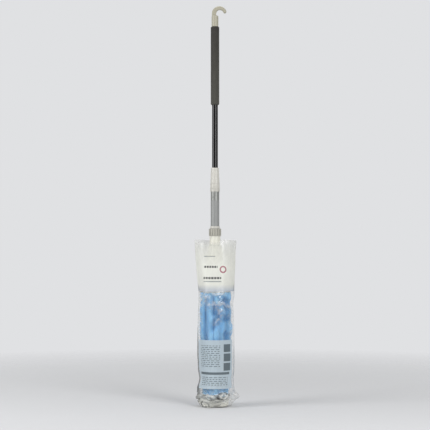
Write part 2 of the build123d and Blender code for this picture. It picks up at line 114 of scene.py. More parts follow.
# Cloth: radius of the strips at the cup and at the bell, and by height how far the film presses their left
# side in and lets their right side out
STRIP_FOOT_REACH_MM = 41
STRIP_TOP_REACH_MM = 46
STRIP_LEFT_SHARE = [
    (34, 1.0), (60, 0.9), (88, 0.82), (166, 0.82), (200, 0.9), (230, 0.98), (250, 1.01), (372, 1.03),
]
STRIP_RIGHT_SHARE = [
    (34, 1.0), (100, 1.01), (190, 1.04), (235, 1.13), (310, 1.16), (345, 1.12), (372, 1.09),
]
CLOTH_SPLIT = 0.250  # height where the part that slackens meets the part that twists
OUTER_STRIPS = 16
INNER_STRIPS = 12
INNER_LAYER_MM = 5.5  # from the backs of the outer strips to the fronts of the inner ones
INNER_TURN = 0.1  # radians that the inner ring is turned by
STRIP_COLUMNS = 10
STRIP_ROW_MM = 4.5
STRIP_APART = 0.04  # from one strip to the next on the cloth's UV map
HEAD_ROUND = 0.05  # radius at which noise is laid out round the head
CLOTH_CRUMPLE_MM = 24
# Long folds down the head: angle round it, half width in degrees, share of the fold depth
LONG_FOLDS = [
    (-135, 11, 1.0), (-95, 3, 0.25), (-69, 7, 0.5), (-41, 12, 0.8),
    (12, 6, 0.6), (58, 9, 0.9), (96, 4, 0.5), (141, 8, 0.9),
]

# Film bag from the front: height, then left and right half widths
BAG_OUTLINE_MM = [
    (0, 46, 50),
    (12, 54, 59),
    (27, 58, 73),
    (40, 59, 71),
    (60, 58, 61),
    (88, 48, 58.5),
    (120, 54.5, 63),
    (177, 57, 63.5),
    (300, 55, 61),
    (372, 53.5, 62),
    (450, 60, 65),
    (543, 69, 69.5),
]
# Film bag from the side: height, then half depth
BAG_DEPTH_MM = [
    (0, 46), (24, 50), (45, 54), (60, 55.5), (88, 56),
    (240, 58), (340, 58), (372, 56), (450, 50), (543, 41),
]
# How deep the film's creases are, by height, as a share of the deepest
BAG_CREASING = [
    (0, 0.4), (14, 0.55), (36, 0.5), (62, 0.35), (110, 0.2),
    (240, 0.12), (372, 0.14), (470, 0.2), (543, 0.4),
]
BROAD_CREASE_MM = 30
FINE_CREASE_MM = 13
FACET_MM = 22
# Flaps of loose film at the foot: angle round the bag and half angle, lower and upper edge in mm, and how
# far they stand out in mm
FOOT_FLAPS = [(-6, 10, 22, 54, 15), (-112, 18, -9, 11, 10)]
# Loops in which the film has turned over at the front of the foot, each with painted shade on its rim and a
# painted highlight inside: middle across and up, and half sizes
FOOT_LOOPS_MM = [(26, 39, 17, 9.5), (-15, 34, 24, 6.5), (-32, 11, 12, 7.5)]
LOOP_RISE_MM = 1.2
# Rolls in which the film has slouched down round the cup: lower and upper edge, and height of a roll
FOOT_ROLLS_MM = (16, 54)
FOOT_ROLL_MM = 17
# Pale folds where the film lies on the cloth, raised a little and whitened as painted highlights: from and
# to, each across the front and up it, half width, and how much they hide
FILM_FOLDS_MM = [
    (-43, 350, -25, 363, 14, 0.32),
    (-22, 330, 13, 337, 9, 0.3),
    (13, 337, 50, 327, 9, 0.28),
    (11, 322, 20, 300, 8, 0.22),
    (20, 300, 3, 273, 8, 0.2),
    (-49, 340, -48, 226, 5, 0.2),
    (-28, 371, 27, 368, 7, 0.28),
    (51, 330, 52, 226, 5, 0.2),
]
# Side fins of the film, where it lies double: share by height on the left and on the right. The share
# also sets the painted dark shade along each fin, and at the white zone's sides near its lower edge
LEFT_FOLD_SHARE = [
    (8, 0.0), (40, 0.8), (60, 1.0), (190, 1.0), (245, 0.6), (270, 0.3), (370, 0.3), (385, 0.7), (404, 0.0),
]
RIGHT_FOLD_SHARE = [
    (8, 0.0), (60, 0.1), (95, 0.5), (180, 0.5), (215, 0.05), (365, 0.1), (385, 0.7), (404, 0.0),
]
FIN_DEG = 6.5  # half angle of a fin at its foot
FIN_MM = 4  # how far a full fin stands out
# Printed zones: lower and upper edge of the label, and lower edge of the white zone that runs to the mouth
LABEL_ZONE_MM = (62, 219)
WHITE_EDGE_MM = 375
WHITE_EDGE_FADE_MM = 22  # how far up the white ink is thin above its lower edge
WHITE_FADE_MM = (450, 540)  # where the white ink thins out towards the mouth
LABEL_ARC_DEG = (-78, 68)  # from the middle of the bag's front
BAG_ROUND = 0.055  # radius at which print and creases are laid out
FOOT_TOP = 0.06  # height of the crumpled foot
FLOOR_GAP_MM = 0.4
MOUTH_DEG = -118  # where the mouth sags most
MOUTH_EDGE_MM = 44  # height of the film that the mouth's waves reach
BAG_COLUMNS = 176
BAG_BOTTOM_ROWS = 7
BAG_ZONE_ROWS = (48, 32, 60, 36)  # foot, label, clear zone and white zone
# Of these marks, the first carries painted highlights, the second how much the film hides, and the third
# painted dark shade
FILM_MARKS = ("crease", "haze", "painted_film_shade")  # what the film's material reads at each point

# Grip: cuts along it and round its ends, and steps round it
GRIP_CUTS = 52
GRIP_END_CUTS = 2
GRIP_STEPS = 64

# Soft lamps: name, share of the lamp power, place, width and height
LAMPS = [
    ("left_softbox", 1.0, (-2.25, -1.15, 1.5), 1.3, 1.9),
    ("right_softbox", 1.0, (1.4, -2.1, 1.5), 1.0, 1.9),
    ("top_softbox", 0.5, (0, 0.2, 2.9), 1.6, 1.6),
]
# How far back a mirrored way points where the backdrop begins to fade, and where only the room is left
ROOM_EDGE = (0.75, 0.35)


# Helpers for shapes

def eased(value, low, high):
    """Share of the way from low to high, eased at both ends and held beyond them."""
    gone = min(max((value - low) / (high - low), 0.0), 1.0)
    return gone * gone * (3 - 2 * gone)


def faded(value, low, high):
    """1 below low and 0 above high, eased between them."""
    return eased(-value, -high, -low)


def facing(angle, middle_deg, low, high):
    """How much a place round the pole faces a way, eased between two cosines of the angle to it."""
    return eased(math.cos(angle - math.radians(middle_deg)), low, high)


def between(stations, height_mm, column=1, spread_mm=9):
    """Value at a height from rows of (height, value, ...), with the corners between rows rounded off."""
    heights = [row[0] for row in stations]
    values = [row[column] for row in stations]
    window = np.linspace(-spread_mm, spread_mm, 7)
    return float(np.interp(height_mm + window, heights, values).mean())


def fold_ways(count):
    """Unit vectors spread evenly over a sphere, one for each way in which a crumpled sheet is folded."""
    golden_angle = math.pi * (3 - math.sqrt(5))
    ways = []
    for number in range(count):
        angle = golden_angle * number
        up = 1 - 2 * (number + 0.5) / count
        across = math.sqrt(1 - up * up)
        ways.append(Vector((across * math.cos(angle), across * math.sin(angle), up)))
    return ways


FOLD_WAYS = fold_ways(6)


def crumple(point, size_mm):
    """Height of a crumpled sheet, from 0 to 1, and how near the point is to a crease.

    The sheet is folded to and fro in several ways, with folds about that size wide.
    """
    size = MM * size_mm
    bent = point + 0.3 * size * noise.noise_vector(point / (1.6 * size))
    folds = [abs(math.remainder(way.dot(bent) / size + 0.31 * n, 2)) for n, way in enumerate(FOLD_WAYS)]
    nearest = min(min(fold, 1 - fold) for fold in folds)
    crease_width = 0.05
    return sum(folds) / len(folds), 1 - min(nearest / crease_width, 1)


def thicken(bm, thickness):
    """Give open sheets their thickness, inwards from each point, and return the faces that this adds.

    The solidify operator throws spikes where the film is sharply folded.
    """
    bm.normal_update()
    verts, sheets = bm.verts[:], set(bm.faces)
    rims = [edge.link_loops[0] for edge in bm.edges if edge.is_boundary]
    copied = bmesh.ops.duplicate(bm, geom=bm.verts[:] + bm.edges[:] + bm.faces[:])
    twins = copied["vert_map"]
    for vert in verts:
        twins[vert].co = vert.co - thickness * vert.normal
    bmesh.ops.reverse_faces(bm, faces=[face for face in bm.faces if face not in sheets])
    for start in rims:
        end = start.link_loop_next
        corners = (end.vert, start.vert, twins[start.vert], twins[end.vert])
        rim = bm.faces.new(corners, start.face)
        for loop, like in zip(rim.loops, (end, start, start, end)):
            loop.copy_from(like)
    return [face for face in bm.faces if face not in sheets]


def add_piece(name, bm, materials, body=None, sharp_angle=40):
    """Turn a finished bmesh into an object at the origin, smooth but for its sharp edges."""
    mesh = bpy.data.meshes.new(name)
    bm.to_mesh(mesh)
    bm.free()
    for material in materials:
        mesh.materials.append(material)
    mesh.shade_smooth()
    mesh.set_sharp_from_angle(angle=math.radians(sharp_angle))
    piece = bpy.data.objects.new(name, mesh)
    bpy.context.scene.collection.objects.link(piece)
    if body:
        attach(piece, body)
    return piece


# Helpers for materials

def linear(code):
    """Linear colour, with alpha 1, of an sRGB hex value."""
    shares = [int(code[start:start + 2], 16) / 255 for start in (1, 3, 5)]
    return tuple(s / 12.92 if s <= 0.04045 else ((s + 0.055) / 1.055) ** 2.4 for s in shares) + (1.0,)


def feed(node, inputs):
    """Set a node's inputs, given by name or number, or link them to a socket or a node's first output."""
    for key, value in inputs.items():
        if isinstance(value, bpy.types.Node):
            value = next(socket for socket in value.outputs if socket.enabled)
        if isinstance(value, bpy.types.NodeSocket):
            node.id_data.links.new(value, node.inputs[key])
        else:
            node.inputs[key].default_value = value


def add_node(tree, kind, inputs=None, **settings):
    """Add a shader node with its settings, and set or link its inputs.

    Numbered inputs of Map Range are value, from low, from high, to low and to high. Those of a colour Mix
    are 0 for the share and 6 and 7 for the two colours.
    """
    node = tree.nodes.new("ShaderNode" + kind)
    for name, value in settings.items():
        setattr(node, name, value)
    feed(node, inputs or {})
    return node


def new_finish(name):
    """A new material, what adds a node to it, its Principled shader and its object coordinates."""
    material = bpy.data.materials.new(name)
    material.use_nodes = True
    tree = material.node_tree
    add = partial(add_node, tree)
    return material, add, tree.nodes["Principled BSDF"], add("TexCoord").outputs["Object"]


def pattern(add, place, size_mm, stretch=(1, 1, 1), detail=3):
    """Noise from 0 to 1 with patches of that size, drawn out along each axis by stretch."""
    scale = [1 / (MM * size_mm * s) for s in stretch]
    mapping = add("Mapping", {"Vector": place, "Scale": scale})
    return add("TexNoise", {"Vector": mapping, "Scale": 1, "Detail": detail})


def shaded(tint, share_left):
    """A colour darkened to a share of itself."""
    return [share_left * c for c in tint[:3]] + [1.0]


def printed(add, place, centre_mm, size_mm):
    """1 inside a rectangle of the film's own UV map and 0 outside."""
    centre = [MM * c for c in centre_mm] + [0]
    half = [MM * s / 2 for s in size_mm] + [1]
    offset = add("VectorMath", {0: place, 1: centre}, operation="SUBTRACT")
    apart = add("VectorMath", {0: offset}, operation="ABSOLUTE")
    beyond = add("VectorMath", {0: apart, 1: half}, operation="SUBTRACT")
    sides = add("SeparateXYZ", {0: beyond}).outputs
    furthest = add("Math", {0: sides["X"], 1: sides["Y"]}, operation="MAXIMUM")
    return add("Math", {0: furthest, 1: 0}, operation="LESS_THAN")


def printed_rows(add, place, centre_mm, size_mm, row_mm, dash_mm, gap_mm):
    """1 on the short dashes of a block of rows and 0 elsewhere."""
    sizes = {"Brick Width": MM * dash_mm, "Row Height": MM * row_mm, "Mortar Size": MM * gap_mm}
    uneven = {"offset": 0.4, "squash": 0.65, "squash_frequency": 3}
    gaps = add("TexBrick", {"Vector": place, "Scale": 1, **sizes}, **uneven).outputs["Fac"]
    marks = add("Math", {0: 1, 1: gaps}, operation="SUBTRACT")
    inside = printed(add, place, centre_mm, size_mm)
    return add("Math", {0: marks, 1: inside}, operation="MULTIPLY")


# Sizes and colours that a user would change

def length(name, description, default):
    """A length property."""
    return FloatProperty(
        name=name, description=description, default=default, subtype="DISTANCE", unit="LENGTH"
    )


def share(name, description, default):
    """A property from 0 to 1."""
    return FloatProperty(
        name=name, description=description, default=default, min=0, max=1, subtype="FACTOR"
    )


def colour(name, description, code):
    """A colour property with an sRGB default."""
    return FloatVectorProperty(
        name=name, description=description, default=linear(code), size=4, min=0, max=1, subtype="COLOR"
    )


class WetMopClothSettings(bpy.types.PropertyGroup):
    """Cloth strips between the cup and the bell."""

    outer_width: length("Outer Width", "Width of each outer strip", 0.025)
    inner_width: length("Inner Width", "Width of each inner strip", 0.022)
    thickness: length("Thickness", "Thickness of the cloth", 0.0024)
    fold_depth: length("Fold Depth", "Depth of the long folds down the head", 0.009)
    crumple_depth: length("Crumple Depth", "Depth of the crumples at the front right", 0.020)
    # Light and dark are painted light on the loops' crests and painted shade between them, with random worn
    # patches; deep is painted shade in folds and crumples
    light: colour("Light", "Cloth on its crests", "#A9DFFC")
    dark: colour("Dark", "Cloth between its loops", "#8BC8F9")
    deep: colour("Deep", "Cloth deep in its folds", "#4C8DC4")


class WetMopFilmSettings(bpy.types.PropertyGroup):
    """Clear film bag and its print."""

    thickness: length("Thickness", "Thickness of the film, drawn thicker than real film", 0.00025)
    crease_depth: length("Crease Depth", "Depth of the deepest creases", 0.010)
    roll_depth: length("Roll Depth", "How far the rolls of slouched film stand out at the foot", 0.007)
    mouth_dip: length("Mouth Dip", "How far the mouth sags at the front left", 0.008)
    haze: share("Haze", "How much of the view the clear film hides", 0.04)
    foot_haze: share("Foot Haze", "How much of the view the crumpled foot hides", 0.62)
    ink: share("Ink Cover", "How much of the view the white zone hides", 0.9)
    mouth_ink: share("Mouth Ink Cover", "How much of the view the white zone hides at the mouth", 0.2)
    label_ink: share("Label Cover", "How much of the view the label hides", 0.95)
    clear_colour: colour("Film", "Milky tint of the clear film", "#EEEEE8")
    # Painted shade: the fold colour is the dark grey put where film lies double, under rolls, round loops
    # and on some foot facets. Painted highlight: the crest colour whitens crests, glints, loops and pale
    # folds.
    film_shade_colour: colour("Folds", "Dark grey of the film where it lies double", "#2C2F30")
    film_highlight_colour: colour("Crests", "Whitened crests of the film's creases", "#F8F8F4")
    white_colour: colour("White Print", "Ink of the white zone", "#F7F8F1")
    thin_colour: colour("Thin Print", "White ink where it thins out over the cloth", "#C2CAD6")
    label_colour: colour("Label", "Ink of the pale label", "#C5D3DB")
    grey_colour: colour("Grey Print", "Ink of the label's marks and of the smaller rows", "#6E7A80")
    dark_colour: colour("Dark Print", "Ink of the larger rows on the white zone", "#4A4B4D")
    red_colour: colour("Red Print", "Ink of the ring on the white zone", "#B4707E")


class WetMopGripSettings(bpy.types.PropertyGroup):
    """Foam grip."""

    end_bevel: length("End Bevel", "Rounding of the grip's two ends", 0.0028)
    waviness: length("Waviness", "Unevenness of the foam's skin", 0.0003)
    upper_colour: colour("Upper", "Foam near the hook", "#32302D")
    lower_colour: colour("Lower", "Foam near the tube", "#484842")
    handled_colour: colour("Handled", "Foam where it has been handled", "#66645F")


class WetMopFinishSettings(bpy.types.PropertyGroup):
    """Plastics and metals."""

    ivory: colour("Ivory", "Moulded hook", "#B3AF9D")
    white: colour("White", "Lock collar, collet and stop ring", "#D6D4CC")
    cream: colour("Cream", "Wringer sleeve and base cup", "#EFEEE2")
    warm_grey: colour("Warm Grey", "Ratchet collar", "#BEBCB1")
    natural: colour("Natural", "Bushes and plug", "#D6D5CF")
    pale_grey: colour("Pale Grey", "Rings of the refill", "#C6CBD0")
    black: colour("Black", "Lacquer of the upper tube", "#0C0C0E")
    rubbed_black: colour("Rubbed Black", "Lacquer where it is rubbed", "#4A4A4C")
    grey: colour("Grey", "Coat of the lower tube", "#A6A8A7")
    drawn_grey: colour("Drawn Grey", "Coat in the tube's drawing lines", "#929493")
    bright_grey: colour("Bright Grey", "Coat of the lower tube near its top", "#9A9C99")
    zinc: colour("Zinc", "Plated screw and washer", "#B8B8B2")
    bright_zinc: colour("Bright Zinc", "Brighter grains of the plating", "#D3D4D2")
    coat_edge: length("Coat Edge", "Height where the lower tube's coat turns from dull to bright", 0.669)


class WetMopStageSettings(bpy.types.PropertyGroup):
    """Floor, light and camera."""

    backdrop: colour("Backdrop", "Floor and background", "#E0E1E3")
    floor_radius: length("Floor Radius", "Radius of the floor, which fades out towards its rim", 2.6)
    lamp_power: FloatProperty(
        name="Lamp Power", description="Power of each large lamp", default=38, unit="POWER"
    )
    fill: share("Fill", "Light that comes from all round", 0.3)
    room: share("Room", "Brightness of the room that gloss mirrors on the camera's side", 0.12)
    camera_distance: length("Camera Distance", "From the pole to the camera", 4.5)
    camera_height: length("Camera Height", "From the floor to the camera", 0.55)
    aim_height: length("Aim Height", "Height on the pole in the middle of the picture", 0.622)
    frame_height: length("Frame Height", "Height of the picture at the pole", 1.3975)


# Materials

def microfibre_cloth(size):
    """Looped microfibre cloth: soft, matte, furry, with painted light and shade on its loops and in folds.
    """
    material, add, shader, _ = new_finish("microfibre_terry")
    place = add("UVMap", uv_map="cloth").outputs[0]
    worn = add("MapRange", {0: pattern(add, place, 16, stretch=(1, 2.5, 1)), 1: 0.3, 2: 0.7})
    # Loops are about 1 mm apart, drawn 1.8 mm apart so that they show
    loops = add("TexVoronoi", {"Vector": place, "Scale": 1 / (1.8 * MM), "Randomness": 0.6})
    # Painted shade between the loops, which darkens the cloth towards its dark colour
    shade_between_loops = add("MapRange", {0: loops, 1: 0.1, 2: 0.7, 3: 0, 4: 0.3})
    lit = add("Math", {0: worn, 1: shade_between_loops}, operation="SUBTRACT", use_clamp=True)
    open_cloth = add("Mix", {0: lit, 6: size.dark, 7: size.light}, data_type="RGBA")
    # Painted shade: cloth deep in folds and crumples turns towards the deep colour
    hollow = add("Attribute", attribute_name="hollow").outputs["Fac"]
    naps = add("Bump", {"Height": loops, "Distance": -0.6 * MM})
    tufts = pattern(add, place, 7)
    feed(shader, {
        "Base Color": add("Mix", {0: hollow, 6: open_cloth, 7: size.deep}, data_type="RGBA"),
        "Roughness": 0.92,
        "IOR": 1.46,
        "Sheen Weight": 0.25,
        "Sheen Roughness": 0.5,
        "Normal": add("Bump", {"Height": tufts, "Distance": 0.8 * MM, "Normal": naps}),
    })
    return material


def film_look(name, roughness, mirrored, through):
    """Thin film: glossy, and milky where it hides the view, with light coming through it from behind.

    Mirrored is the share that it mirrors when seen edge on, and through the share of its own colour that
    is lit from behind. Returns the material, what adds a node to it, the two shaders that take its colour,
    and the node that adds up how much of the view it hides.
    """
    material, add, shader, place = new_finish(name)
    # The crease mark carries painted highlights, and makes the film hide a little more there
    crease = add("Attribute", attribute_name="crease").outputs["Fac"]
    hidden = add("Math", {0: crease, 1: 0.3, 2: 0}, operation="MULTIPLY_ADD", use_clamp=True)
    crinkles = pattern(add, place, 12, stretch=(1, 1, 2.2))
    skin = add("Bump", {"Height": crinkles, "Distance": 0.5 * MM})
    feed(shader, {"Roughness": 0.5, "IOR": 1.5, "Specular IOR Level": 0, "Normal": skin})
    lit_through = add("BsdfTranslucent", {"Normal": skin})
    milky = add("MixShader", {0: through, 1: shader, 2: lit_through})
    sheer = add("MixShader", {0: hidden, 1: add("BsdfTransparent"), 2: milky})
    facing_away = add("LayerWeight", {"Blend": 0.5}).outputs["Facing"]
    steep = add("Math", {0: facing_away, 1: 5}, operation="POWER")
    mirror = add("MapRange", {0: steep, 3: 0.04, 4: mirrored})
    gloss = add("BsdfGlossy", {"Roughness": roughness, "Normal": skin})
    surface = add("MixShader", {0: mirror, 1: sheer, 2: gloss})
    feed(material.node_tree.nodes["Material Output"], {"Surface": surface})
    return material, add, (shader, lit_through), hidden


def tint_film(shaders, tint):
    """Give both of a film's shaders one colour."""
    shader, lit_through = shaders
    feed(shader, {"Base Color": tint})
    feed(lit_through, {"Color": tint})


def clear_film(size):
    """Blown polythene film: clear and glossy, milky where crumpled, painted grey shade where it lies double.
    """
    material, add, shaders, hidden = film_look("clear_polythene_film", 0.14, 0.25, 0.4)
    crease, haze, painted_film_shade = (add("Attribute", attribute_name=name).outputs["Fac"] for name in FILM_MARKS)
    feed(hidden, {2: haze})
    tint = add("Mix", {0: painted_film_shade, 6: size.clear_colour, 7: size.film_shade_colour}, data_type="RGBA")
    # Painted highlights: the crease mark whitens the tint
    tint_film(shaders, add("Mix", {0: crease, 6: tint, 7: size.film_highlight_colour}, data_type="RGBA"))
    return material


def white_print(size):
    """White ink on film: nearly opaque and satin, thin at its two edges, with a few plain marks."""
    material, add, shaders, hidden = film_look("white_printed_film", 0.35, 0.25, 0.15)
    place = add("UVMap", uv_map="film").outputs[0]
    height = add("SeparateXYZ", {0: place}).outputs["Y"]
    low, high = (MM * edge for edge in WHITE_FADE_MM)
    inked = add("MapRange", {0: height, 1: low, 2: high, 3: size.ink, 4: size.mouth_ink})
    feed(hidden, {2: inked})
    low, high = MM * WHITE_EDGE_MM, MM * (WHITE_EDGE_MM + WHITE_EDGE_FADE_MM)
    thin = add("MapRange", {0: height, 1: low, 2: high, 3: 1, 4: 0})
    ink = add("Mix", {0: thin, 6: size.white_colour, 7: size.thin_colour}, data_type="RGBA")
    # Painted shade: the ink darkens towards the dark grey at the sides near its lower edge, where the fins
    # lie
    painted_film_shade = add("Attribute", attribute_name="painted_film_shade").outputs["Fac"]
    ink = add("Mix", {0: painted_film_shade, 6: ink, 7: size.film_shade_colour}, data_type="RGBA")
    # Rows of dashes: middle, size, height of a row, length of a dash, and ink
    for centre, block, row, dash, tone in (
        ((-16, 454.5), (50, 9), 9, 9, size.dark_colour),
        ((-10, 418.5), (62, 9), 9, 10, size.dark_colour),
        ((-10, 407.25), (62, 4.5), 4.5, 6, size.grey_colour),
        ((-20, 488.25), (42, 4.5), 4.5, 7, size.grey_colour),
    ):
        dashes = printed_rows(add, place, centre, block, row, dash, 0.14 * row)
        ink = add("Mix", {0: dashes, 6: ink, 7: tone}, data_type="RGBA")
    ring_middle, ring_radius, ring_half_width = (28 * MM, 446 * MM, 0), 9.5 * MM, 2.2 * MM
    offset = add("VectorMath", {0: place, 1: ring_middle}, operation="SUBTRACT")
    distance = add("VectorMath", {0: offset}, operation="LENGTH").outputs["Value"]
    ring = add("Math", {0: distance, 1: ring_radius, 2: ring_half_width}, operation="COMPARE")
    ink = add("Mix", {0: ring, 6: ink, 7: size.red_colour}, data_type="RGBA")
    tint_film(shaders, ink)
    return material


def label_print(size):
    """Pale label on film: flat satin ink with grey blocks and rows of fine dashes."""
    material, add, shaders, hidden = film_look("label_printed_film", 0.22, 0.35, 0.1)
    feed(hidden, {2: size.label_ink})
    place = add("UVMap", uv_map="film").outputs[0]
    ink = size.label_colour
    # Blocks of rows, then solid blocks with a bar below them: middle and size
    for centre, block in (((-20, 166), (72, 72)), ((-6, 85), (100, 30))):
        dashes = printed_rows(add, place, centre, block, 6, 15, 1.8)
        fine = add("Math", {0: dashes, 1: 0.9}, operation="MULTIPLY")
        ink = add("Mix", {0: fine, 6: ink, 7: size.grey_colour}, data_type="RGBA")
    side_blocks = [((41, height), (27, 25)) for height in (193, 163, 133)]
    for centre, block in (*side_blocks, ((-4, 112), (108, 8))):
        mark = printed(add, place, centre, block)
        ink = add("Mix", {0: mark, 6: ink, 7: size.grey_colour}, data_type="RGBA")
    tint_film(shaders, ink)
    return material


def foam_skin(size):
    """Closed-cell foam rubber: dull and porous, a little paler where it has been handled."""
    material, add, shader, place = new_finish("foam_rubber_grip")
    # Cells are about 0.5 mm across, drawn 1.6 mm so that they show
    cells = add("TexVoronoi", {"Vector": place, "Scale": 1 / (1.6 * MM)})
    height = add("SeparateXYZ", {0: place}).outputs["Z"]
    along = add("MapRange", {0: height, 1: GRIP_LOW.z, 2: GRIP_HIGH.z})
    base = add("Mix", {0: along, 6: size.lower_colour, 7: size.upper_colour}, data_type="RGBA")
    handled = pattern(add, place, 22, stretch=(1, 1, 2))
    rubbed = add("MapRange", {0: handled, 1: 0.3, 2: 0.7, 4: 0.35})
    pores = add("Math", {0: rubbed, 1: cells, 2: 0.05}, operation="MULTIPLY_ADD")
    lumps = add("Bump", {"Height": pattern(add, place, 6), "Distance": 0.4 * MM})
    feed(shader, {
        "Base Color": add("Mix", {0: pores, 6: base, 7: size.handled_colour}, data_type="RGBA"),
        "Roughness": 0.9,
        "IOR": 1.45,
        "Sheen Weight": 0.05,
        "Normal": add("Bump", {"Height": cells, "Distance": 0.35 * MM, "Normal": lumps}),
    })
    return material


def moulded_plastic(name, tint, flow_mm, roughness, corner_mm=3, corner_from=0.35):
    """Injection-moulded plastic: even with faint flow marks, a satin skin and painted shade in inside
    corners.

    The painted shade in a corner is darkest where no more than the share corner_from is open within
    corner_mm.
    """
    material, add, shader, place = new_finish(name)
    flow = add("MapRange", {0: pattern(add, place, flow_mm, stretch=(1, 1, 3)), 1: 0.3, 2: 0.7})
    base = add("Mix", {0: flow, 6: shaded(tint, 0.92), 7: tint}, data_type="RGBA")
    # Painted shade: the colour darkens in inside corners, by how little is open round them
    open_share = add("AmbientOcclusion", {"Distance": corner_mm * MM}, samples=8).outputs["AO"]
    lit = add("MapRange", {0: open_share, 1: corner_from, 2: 0.95})
    # Spark grain is about 0.1 mm, drawn 0.9 mm so that it shows
    grain = pattern(add, place, 0.9, detail=2)
    dulled = {0: pattern(add, place, 12), 1: 0.3, 2: 0.7, 3: roughness - 0.06, 4: roughness + 0.08}
    feed(shader, {
        "Base Color": add("Mix", {0: lit, 6: shaded(tint, 0.35), 7: base}, data_type="RGBA"),
        "Roughness": add("MapRange", dulled),
        "IOR": 1.52,
        "Normal": add("Bump", {"Height": grain, "Distance": 0.02 * MM}),
    })
    return material


def black_lacquer(size):
    """Stoved black lacquer on tube: deep gloss, a faint orange peel and hairline rubs along the tube."""
    material, add, shader, place = new_finish("black_stoved_lacquer")
    # Rubs are about 0.1 mm wide and the peel about 3 mm, drawn 0.8 mm and 14 mm so that they show
    rubs = pattern(add, place, 0.8, stretch=(1, 1, 60), detail=4)
    worn = add("MapRange", {0: rubs, 1: 0.55, 2: 0.85, 4: 0.06})
    peel = pattern(add, place, 14, detail=0)
    feed(shader, {
        "Base Color": add("Mix", {0: worn, 6: size.black, 7: size.rubbed_black}, data_type="RGBA"),
        "Roughness": add("MapRange", {0: rubs, 1: 0.3, 2: 0.7, 3: 0.05, 4: 0.09}),
        "IOR": 1.6,
        "Specular IOR Level": 0.36,
        "Normal": add("Bump", {"Height": peel, "Distance": 0.01 * MM}),
    })
    return material


def grey_coat(size):
    """Aluminium-grey lacquer on steel tube: satin with drawing lines, and shinier near its top."""
    material, add, shader, place = new_finish("grey_tube_coat")
    # Drawing lines are about 0.2 mm wide, drawn 1.2 mm so that they show
    lines = pattern(add, place, 1.2, stretch=(1, 1, 80), detail=4)
    height = add("SeparateXYZ", {0: place}).outputs["Z"]
    bright = add("MapRange", {0: height, 1: size.coat_edge - MM, 2: size.coat_edge + MM})
    drawn = add("MapRange", {0: lines, 1: 0.3, 2: 0.7})
    base = add("Mix", {0: drawn, 6: size.drawn_grey, 7: size.grey}, data_type="RGBA")
    feed(shader, {
        "Base Color": add("Mix", {0: bright, 6: base, 7: size.bright_grey}, data_type="RGBA"),
        "Metallic": add("MapRange", {0: bright, 3: 0.15, 4: 0.3}),
        "Roughness": add("MapRange", {0: bright, 3: 0.5, 4: 0.36}),
        "Normal": add("Bump", {"Height": lines, "Distance": 0.02 * MM}),
    })
    return material


def zinc_plate(size):
    """Zinc-plated steel: pale grey metal with a mottled, slightly dull plating."""
    material, add, shader, place = new_finish("zinc_plated_steel")
    spangle = add("TexVoronoi", {"Vector": place, "Scale": 1 / (2.5 * MM)})
    feed(shader, {
        "Base Color": add("Mix", {0: spangle, 6: size.zinc, 7: size.bright_zinc}, data_type="RGBA"),
        "Metallic": 1,
        "Roughness": add("MapRange", {0: spangle, 3: 0.28, 4: 0.45}),
    })
    return material


# Cloth strips

def strip_reach(height):
    """Radius that the strips reach at a height: drawn in at the cup and the bell, full between."""
    share_up = min(max((height - CUP_HIGH.z) / (BELL_LOW.z - CUP_HIGH.z), 0), 1)
    drawn_in = MM * (STRIP_FOOT_REACH_MM + (STRIP_TOP_REACH_MM - STRIP_FOOT_REACH_MM) * share_up)
    full = STRIPS_HIGH.x - MM
    return drawn_in + (full - drawn_in) * (1 - (2 * share_up - 1) ** 4)


def long_fold(angle):
    """Depth of the long folds at an angle, from 0 to 1."""
    return sum(
        depth * math.exp(-(math.remainder(math.degrees(angle) - middle, 360) / half_width) ** 2)
        for middle, half_width, depth in LONG_FOLDS
    )


def cloth_point(size, angle, across, height, layer):
    """A point on a strip, and the painted shade it gets in folds and crumples, from 0 to 1.

    Across is from -1, the edge tucked under its neighbour, to 1.
    """
    loose = eased(height, CUP_HIGH.z, CUP_HIGH.z + 40 * MM)
    loose *= faded(height, BELL_LOW.z - 30 * MM, BELL_LOW.z)
    # Between cup and bell the strips wander aside, swell and fold
    angle += 0.12 * loose * noise.noise(Vector((math.cos(angle), math.sin(angle), height / (130 * MM))))
    x, y = HEAD_ROUND * math.cos(angle), HEAD_ROUND * math.sin(angle)
    swell = noise.noise(Vector((x, y, 0.12 * height)) / (24 * MM) + Vector((3.1, 0, 0)))
    wander = 0.1 * noise.noise(Vector((0, 0, height / (90 * MM))))
    folded = loose * long_fold(angle + wander)
    # Crumples lie at the front right of the upper half, where the cloth was pushed into the bag
    front_right = facing(angle, FRONT_RIGHT_DEG, 0.4, 0.8)
    crumpled = loose * (0.15 + front_right * eased(height / MM, 200, 270))
    crumple_height, _ = crumple(Vector((x, y, height)), CLOTH_CRUMPLE_MM)
    pushed = crumpled * eased(crumple_height, 0.38, 0.6)
    tucked = 2.8 * MM * faded(across, -0.64, -0.2)
    crown = 1.4 * MM * across * across
    inwards = size.fold_depth * (folded + 0.3 * loose * (0.5 + 0.5 * swell))
    inwards += 0.5 * size.crumple_depth * pushed
    radius = strip_reach(height) - layer - inwards - tucked - crown
    x, y = radius * math.cos(angle), radius * math.sin(angle)
    x *= between(STRIP_LEFT_SHARE if x < 0 else STRIP_RIGHT_SHARE, height / MM)
    return Vector((x, y, height)), min(0.8 * folded + 0.9 * pushed, 1)


